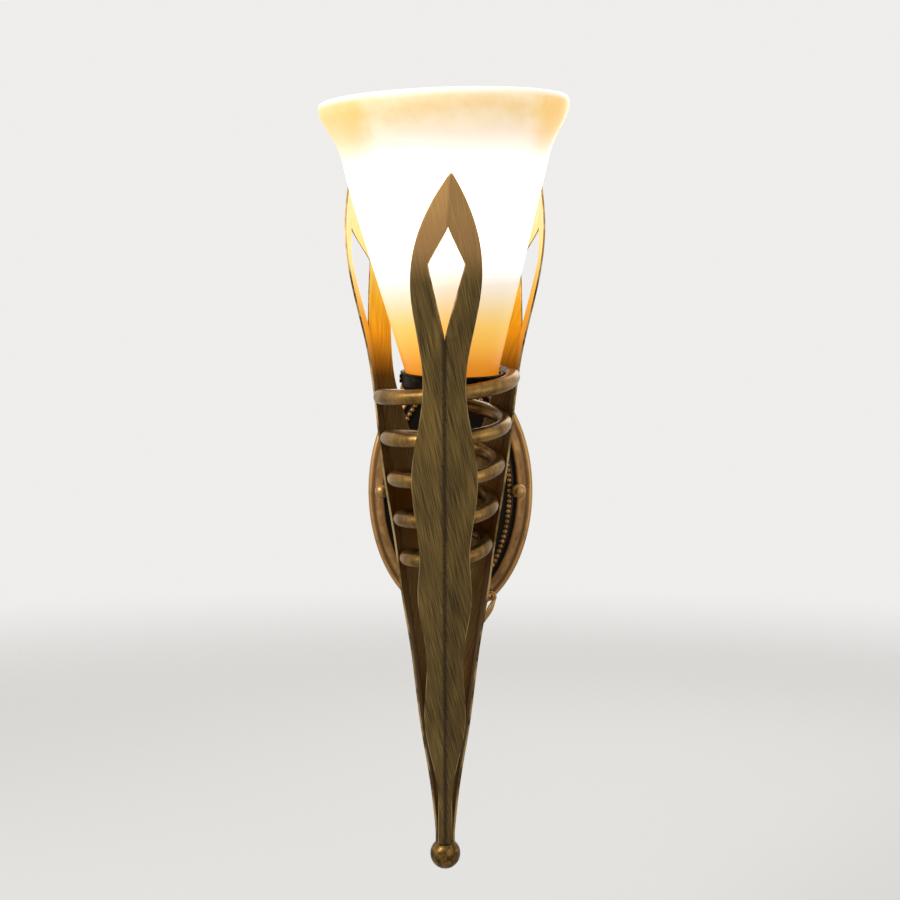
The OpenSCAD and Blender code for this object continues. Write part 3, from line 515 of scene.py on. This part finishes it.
def coil_point(angle):
    share = min(1, max(0, (angle - 180) / 180))
    height = (COIL_S + COIL_PITCH * min(angle, 360) / 360 + COIL_RISE * (1 - math.cos(math.pi * share)) / 2
              - COIL_TILT * math.cos(math.radians(angle)))
    r = leaf_inside(height) - ROD_R - COIL_GAP
    return Vector((r * math.cos(math.radians(angle)), r * math.sin(math.radians(angle)), height))


def rod_along(points, radius, name, rounds=6, thinner=None):
    """A round rod along points, as a mesh with closed ends, still in millimetres."""
    line = bpy.data.curves.new(name, "CURVE")
    line.dimensions, line.use_fill_caps = "3D", True
    line.bevel_depth, line.bevel_resolution = radius, rounds
    spline = line.splines.new("POLY")
    spline.points.add(len(points) - 1)
    for k, (knot, p) in enumerate(zip(spline.points, points)):
        knot.co = (*p, 1)
        knot.radius = thinner(k / (len(points) - 1)) if thinner else 1
    stand_in = bpy.data.objects.new(name, line)
    bpy.context.scene.collection.objects.link(stand_in)
    bpy.context.view_layer.update()
    mesh = bpy.data.meshes.new_from_object(stand_in)
    bpy.data.objects.remove(stand_in)
    bm = bmesh.new()
    bm.from_mesh(mesh)
    bpy.data.meshes.remove(mesh)
    return bm


turns = [coil_point(COIL_FROM + COIL_STEP * k) for k in range(COIL_POINTS)]
start = turns[0] + COIL_END * (turns[0] - turns[1]).normalized()
end = turns[-1] + COIL_END * (turns[-1] - turns[-2]).normalized()
coil_bm = rod_along([start] + turns + [end], ROD_R, "coil_rod")
finish_piece(coil_bm, "coil_rod", LEAVES, "fixture", ROD_GOLD, ("coil",))

# %% [markdown]
# ## The ball
# A small turned ball screws on under the leaves. Its top is flat, with a thin neck ring where it meets
# their feet, so it is a lathe shape and not a plain sphere.

# %% The ball finial
BALL_R, BALL_TOP, BALL_BORE_R = 9.9, 8.7, 2.6
ball_profile = ([(0, -BALL_R)] + arc((0, 0), BALL_R, -86, 58, 36)
                + [(5.0, BALL_TOP), (BALL_BORE_R, BALL_TOP), (BALL_BORE_R, -4.4), (0, -4.5)])
finish_piece(spun(ball_profile, 72), "ball_turned", ROD, "ball_finial", BALL_BRASS,
             ("ball_finial",))

# %% [markdown]
# ## The fitter cup
# The glass stands in a dark spun cup with a rolled rim and a soft shoulder below. Three slotted screws
# hold the neck. The cup is a lathe shape too, drawn as one closed wall.

# %% The cup
CUP_IN, CUP_OUT, CUP_FLOOR, CUP_BASE = 29.7, 31.0, 308.16, 306.86
cup_profile = ([(5.1, CUP_BASE), (24, CUP_BASE), (26.6, CUP_BASE + 0.35)]
               + arc((27, CUP_BASE + 4.3), 4.0, -70, 0, 8)[1:]
               + [(CUP_OUT, CUP_S - 2.2)] + arc((CUP_OUT + 0.1, CUP_S - 0.9), 0.85, -90, 110, 10)
               + [(CUP_IN, CUP_S - 0.4), (CUP_IN, CUP_FLOOR + 1.2), (CUP_IN - 1.2, CUP_FLOOR),
                  (5.1, CUP_FLOOR)])
finish_piece(spun(cup_profile, 96, True), "cup_spun", ROD, "fixture", DARK_BRONZE,
             ("fitter_cup",))

# %% [markdown]
# ## The glass bell
# The bell is drawn as one wall: up the outside from the neck, round the thick lip, and down the inside.
# The wall is a shade wavy, as hot glass is, and its flare is a little shy on the left. A small push away
# from the axis, or towards it, gives both.

# %% The bell
NECK_R, NECK_H, BELL_H, GLASS_T = 28.5, 7.5, 159.5, 3.6
FLARE_FROM, FLARE_TO, FLARE_R, LIP_T = 124.0, 153.0, 5.2, 5.0
WAVE, DENT, DENT_H, DENT_SPREAD = 0.3, 1.9, 139, 20


def bell_r(h):
    share = min(1, (max(0, h - FLARE_FROM) / (FLARE_TO - FLARE_FROM)) ** 1.3)
    return NECK_R + 0.264 * max(0, h) + FLARE_R * (1 - math.cos(math.pi * share)) / 2


heights = [-NECK_H + 0.8, -3, 0] + [FLARE_TO * k / 36 for k in range(1, 37)]
outer_wall = [(bell_r(h), h) for h in heights]
inner_wall = [(r - GLASS_T, h) for r, h in reversed(outer_wall[:-1])]
LIP_R = bell_r(FLARE_TO) - LIP_T / 2
lip = arc((LIP_R, BELL_H - LIP_T / 2), LIP_T / 2, 0, 180, 16) + [(LIP_R - LIP_T / 2, FLARE_TO + 0.5)]
foot = [(NECK_R - GLASS_T + 0.5, -NECK_H), (NECK_R - 0.7, -NECK_H)]
bell_bm = spun(outer_wall + lip + inner_wall + foot, 120, True)
for v in bell_bm.verts:
    a = math.atan2(v.co.y, v.co.x)
    swell = WAVE * math.sin(3 * a + 0.6) * max(0, v.co.z / BELL_H) ** 2
    swell -= DENT * max(0, -math.cos(a)) ** 2 * math.exp(-((v.co.z - DENT_H) / DENT_SPREAD) ** 2)
    v.co += Vector((math.cos(a), math.sin(a), 0)) * swell
bell = finish_piece(bell_bm, "bell", GLASS @ move(0, 0, CUP_S), "shade", AMBER_GLASS,
                    ("glass_shade",))
glass_back = GLASS.inverted()
number_points(bell, "rise", lambda p: ((glass_back @ p).z - CUP_S) / BELL_H)
print("bell's lip:", round(2 * bell_r(FLARE_TO), 1), "mm across")

# %% [markdown]
# ## The wall plate
# The plate is a pressed oval dish. One oval ring of edges is drawn in step by step, each time a little
# smaller and higher, through a bright edge, a broad rounded band and a dark groove up to the flat field.
# The last ring is made round and small, so that only the arm's threaded pipe passes. Each step is given as
# the distance in from the edge, the height above the wall and how far it counts as raised.

# %% The plate
PLATE_A, PLATE_B, PLATE_T, PIPE_HOLE_R = 56.0, 86.0, 0.0012, 5.8
STEPS = [(0, 0, .2), (0, 2.6, .7), (.35, 4.0, 1.1), (1.1, 5.0, 1.25), (2.1, 5.4, 1.1), (3.0, 5.3, .75),
         (3.5, 5.5, .45), (4.0, 6.2, .6), (4.7, 7.5, .85), (5.8, 9.7, 1), (7.4, 11.7, 1), (9.0, 12.9, .9),
         (10.4, 13.4, .6), (11.4, 13.3, .2), (12.2, 12.9, .02), (13.0, 12.9, 0), (13.6, 13.7, .1),
         (14.2, 14.7, .3), (15.0, 15.0, .12), (17.5, 15.0, .05), (24, 15.0, .05), (34, 15.0, .05),
         (44, 15.0, .05), (47, 15.0, .05)]
plate_bm = bmesh.new()
raised = plate_bm.verts.layers.float.new("raised")
ring = bmesh.ops.create_circle(plate_bm, segments=144, radius=1)["verts"]
bmesh.ops.scale(plate_bm, vec=(PLATE_A, PLATE_B, 1), verts=ring)
last = STEPS[0]
for v in ring:
    v[raised] = last[2]
for step in STEPS[1:]:
    rims = [e for e in plate_bm.edges if all(v in set(ring) for v in e.verts)]
    grown = bmesh.ops.extrude_edge_only(plate_bm, edges=rims)["geom"]
    ring = [g for g in grown if isinstance(g, bmesh.types.BMVert)]
    smaller = ((PLATE_A - step[0]) / (PLATE_A - last[0]), (PLATE_B - step[0]) / (PLATE_B - last[0]), 1)
    bmesh.ops.scale(plate_bm, vec=smaller, verts=ring)
    bmesh.ops.translate(plate_bm, vec=(0, 0, step[1] - last[1]), verts=ring)
    for v in ring:
        v[raised] = step[2]
    last = step
for v in ring:
    around = math.atan2(v.co.y, v.co.x)
    v.co.x, v.co.y = PIPE_HOLE_R * math.cos(around), PIPE_HOLE_R * math.sin(around)
plate = finish_piece(plate_bm, "plate_dish", WALL, "fixture", PLATE_BRONZE, ("plate",))
if plate.data.polygons[-1].normal.y > 0:
    plate.data.flip_normals()
plate_wall = plate.modifiers.new("thickness", "SOLIDIFY")
plate_wall.thickness, plate_wall.offset = PLATE_T, -1
print("plate:", 2 * PLATE_A, "by", 2 * PLATE_B, "mm")

# %% [markdown]
# ## The bead string
# A string of small beads runs round the field. Each bead is one low sphere of a few dozen faces, set at
# even steps along the oval, on a thin half-round wire that joins them.

# %% The beads
BEAD_A, BEAD_B, BEAD_R, BEAD_STEP, WIRE_R = 39.5, 71.0, 1.75, 3.45, 0.8
TRACE_POINTS, WIRE_EVERY = 2880, 24
steps_round = [math.tau * k / TRACE_POINTS for k in range(TRACE_POINTS + 1)]
trace = [Vector((BEAD_A * math.cos(a), BEAD_B * math.sin(a), 0)) for a in steps_round]
lengths = [0.0]
for p, q in zip(trace, trace[1:]):
    lengths.append(lengths[-1] + (q - p).length)
bead_count = round(lengths[-1] / BEAD_STEP)
bead_bm = bmesh.new()
spot = 0
for k in range(bead_count):
    goal = lengths[-1] * k / bead_count
    while lengths[spot] < goal:
        spot += 1
    at = trace[spot]
    bmesh.ops.create_uvsphere(bead_bm, u_segments=10, v_segments=7, radius=BEAD_R,
                              matrix=move(at.x, at.y, PLATE_H + 0.55))
wire_path = [p + Vector((0, 0, PLATE_H + 0.1)) for p in trace[::WIRE_EVERY]]
add_part(bead_bm, rod_along(wire_path, WIRE_R, "bead_wire", 3))
beads = finish_piece(bead_bm, "bead_string", WALL, "fixture", PLATE_BRONZE, ("bead_band",))
number_points(beads, "raised", lambda p: min(1.0, max(0.0, (-1000 * p.y - PLATE_H - 0.3) / 1.2)))
print("beads:", bead_count)

# %% [markdown]
# ## The scrolls
# A small scroll curls round a ball at each end of the plate, left and right, and its tail lies along the
# rim. A tapered rod along a spiral makes one, and mirroring gives the others.

# %% The scrolls
SCROLL_R, SCROLL_IN, SCROLL_Z, TAIL_TURN = 3.6, 3.0, 9.2, 25.0
EYE_R, SCROLL_ROD_R, SCROLL_BALL_R, TAIL_SHARE = 1.5, 1.0, 1.75, 0.2


def scroll_path(first_r, last_r, tail):
    """From the tail's end up to the ring, then one and a half turns inwards."""
    points = []
    for k in range(41):
        a, r = math.radians(540 * k / 40), first_r + (last_r - first_r) * (k / 40) ** 0.8
        points.append(Vector((r * math.cos(a), r * math.sin(a), 0)))
    tail_points = [Vector((first_r, -tail * (10 - k) / 10, 0)) for k in range(10)]
    return tail_points + points


def girth(share):
    """Thin at the tail's end, thickest in the tail's middle, even round the ring."""
    if share < TAIL_SHARE:
        return 0.5 + 1.5 * math.sin(math.pi * 0.9 * share / TAIL_SHARE) ** 1.5
    return 0.97


def scroll_pair(name, node, at, tail, flip):
    bm = bmesh.new()
    for side in (1, -1):
        centre = move((PLATE_A - SCROLL_IN) * math.cos(math.radians(at)),
                      -(PLATE_B - SCROLL_IN) * math.sin(math.radians(at)), SCROLL_Z)
        put = Matrix.Diagonal((side, flip, 1, 1)) @ centre @ turn(-TAIL_TURN, "Z")
        path = [put @ p for p in scroll_path(SCROLL_R, EYE_R, tail)]
        add_part(bm, rod_along(path, SCROLL_ROD_R, name, 4, girth))
        ball_at = put @ move(-0.9, 0, 0.4)
        bmesh.ops.create_uvsphere(bm, u_segments=24, v_segments=14, radius=SCROLL_BALL_R, matrix=ball_at)
    piece = finish_piece(bm, name, WALL, "fixture", PLATE_BRONZE, (node,))
    number_points(piece, "raised", lambda p: min(1.25, max(0.5, (-1000 * p.y - 8.4) / 1.6)))


scroll_pair("scrolls_top", "scroll_top", 56, 12, -1)
scroll_pair("scrolls_foot", "scroll_foot", 59.5, 18, 1)

# %% [markdown]
# ## The cap nuts
# Two ball nuts hold the plate to the strap behind it. Each is a ball on a short waisted stem with a small
# collar, turned in one piece and blind, so that its stud ends inside.

# %% The cap nuts
NUT_X = 45.5
nut_profile = ([(2.06, 0.1), (4.4, 0.1), (4.7, 0.5), (4.7, 1.1), (4.2, 1.6), (3.4, 2.2), (3.2, 2.8)]
               + arc((0, 6.1), 4.9, -46, 88, 24) + [(0, 11.0)])
for side, name in ((-1, "cap_nut_left"), (1, "cap_nut_right")):
    nut_bm = spun(nut_profile, 48)
    nut = finish_piece(nut_bm, name + "_ball", WALL @ move(side * NUT_X, 0, PLATE_H), name,
                       PLATE_BRONZE, (name,))
    number_points(nut, "raised", lambda p: 1.1 if -1000 * p.y > PLATE_H + 3 else 0.5)

# %% [markdown]
# ## The pieces that stay as measured
# Nipples, tubes, nuts, screws, leads, the lampholder and the bulb are already the right shape, so they
# keep their meshes and only get their finish. The bulb glows: its glass is frosted and lit from inside.

# %% The bulb's own finishes and the list of finishes
def lamp_finish(name, colour, strength):
    look = Look(name)
    cloud = look.noise(look.place(), 14, 2)
    shade = look.blend(cloud.ramp(0.3, 0.7), colour, tuple(min(1, c * 1.06) for c in colour))
    return look.done(Base_Color=shade, Roughness=0.3, Emission_Color=shade, Emission_Strength=strength)


LAMP_GLASS = lamp_finish("frosted lamp glass", (1.0, 0.86, 0.62), 2.0)
LAMP_INSIDE = lamp_finish("glowing lamp mount", (1.0, 0.72, 0.36), 2.5)
kept = {
    ROD_GOLD: ["arm_tube", "hub", "stem_tube"],
    PLATE_BRONZE: ["arm_boss"],
    DARK_BRONZE: ["neck_screw_front", "neck_screw_rear", "neck_screw_left"],
    STEEL: ["wall_strap", "strap_studs", "stud_nuts", "arm_wedge", "arm_lock_nut", "tie_rod", "foot_collar",
            "cup_lock_nut", "bulb_cap", "bulb_tip"],
    BRASS: ["terminal_screws", "earth_screw", "arm_nipple", "stem_nipple", "holder_thread",
            "holder_contact"],
    IVORY: ["terminal_block", "holder_shell"],
    PORCELAIN: ["holder_core"],
    RUBBER: ["neck_gasket"],
    BROWN: ["lead_live"],
    BLUE: ["lead_neutral"],
    GREEN: ["earth_lead"],
    LAMP_GLASS: ["bulb_glass"],
    LAMP_INSIDE: ["bulb_mount"],
}
for material, names in kept.items():
    for name in names:
        nodes[name].data.materials.clear()
        nodes[name].data.materials.append(material)
number_points(nodes["arm_boss"], "raised", lambda p: 0.7)
print("kept as measured:", sum(len(names) for names in kept.values()))

# %% [markdown]
# ## Floor and light
# A pale floor lies well below the torch and fades into the background far behind it, so that no edge
# shows. A large soft lamp from the upper left gives the metal its highlights, a weaker one fills from the
# right, a third lights the back, and the pale surroundings do the rest. The background looks paler to the
# camera, and in metal and glass, than the light it gives.

# %% The floor
FLOOR_Z, FADE_FROM, FADE_TO = -0.42, 0.9, 3.2
floor_bm = bmesh.new()
bmesh.ops.create_grid(floor_bm, x_segments=1, y_segments=1, size=6, matrix=move(0, 0, FLOOR_Z))
floor_mesh = bpy.data.meshes.new("floor")
floor_bm.to_mesh(floor_mesh)
floor_bm.free()
floor = bpy.data.objects.new("floor", floor_mesh)
bpy.context.scene.collection.objects.link(floor)
floor_look = Look("pale floor")
spot_on_floor = floor_look.node("TexCoord", out="Object")
away = floor_look.node("VectorMath", {"operation": "LENGTH"}, {"Vector": spot_on_floor}, out="Value")
seen_direct = floor_look.node("LightPath", out="Is Camera Ray")
paler = floor_look.blend(seen_direct, (0, 0, 0), (0.26, 0.257, 0.25))
floor_mesh.materials.append(floor_look.done(Base_Color=(0.62, 0.615, 0.60), Roughness=0.9,
                                            Emission_Color=paler, Emission_Strength=1.0,
                                            Alpha=1 - away.ramp(FADE_FROM, FADE_TO)))
print("floor at", FLOOR_Z, "m")

# %% The lamps and the surroundings
LIGHT_GIVEN, LIGHT_SEEN = 0.38, 0.86


def soft_lamp(name, place, power, size):
    lamp = bpy.data.lights.new(name, "AREA")
    lamp.energy, lamp.size = power, size
    holder = bpy.data.objects.new(name, lamp)
    bpy.context.scene.collection.objects.link(holder)
    holder.location = place
    holder.rotation_euler = (Vector((0, -0.08, 0)) - Vector(place)).to_track_quat("-Z", "Y").to_euler()


soft_lamp("key", (-1.2, -1.0, 0.9), 20, 0.8)
soft_lamp("fill", (1.3, -0.9, 0.1), 3, 1.0)
soft_lamp("back", (0.4, 1.2, 0.8), 6, 1.0)
world = bpy.data.worlds.new("pale studio")
bpy.context.scene.world = world
world.use_nodes = True
sky = world.node_tree.nodes["Background"]
path = world.node_tree.nodes.new("ShaderNodeLightPath")
seen = path.outputs["Is Camera Ray"]
for ray in ("Is Glossy Ray", "Is Transmission Ray"):
    either = world.node_tree.nodes.new("ShaderNodeMath")
    either.operation = "MAXIMUM"
    world.node_tree.links.new(seen, either.inputs[0])
    world.node_tree.links.new(path.outputs[ray], either.inputs[1])
    seen = either.outputs[0]
level = world.node_tree.nodes.new("ShaderNodeMapRange")
level.inputs["To Min"].default_value = LIGHT_GIVEN
level.inputs["To Max"].default_value = LIGHT_SEEN
world.node_tree.links.new(seen, level.inputs["Value"])
world.node_tree.links.new(level.outputs[0], sky.inputs["Strength"])
sky.inputs["Color"].default_value = (1.0, 0.99, 0.97, 1)
bpy.context.scene.view_settings.view_transform = "Standard"
print("lights ready")
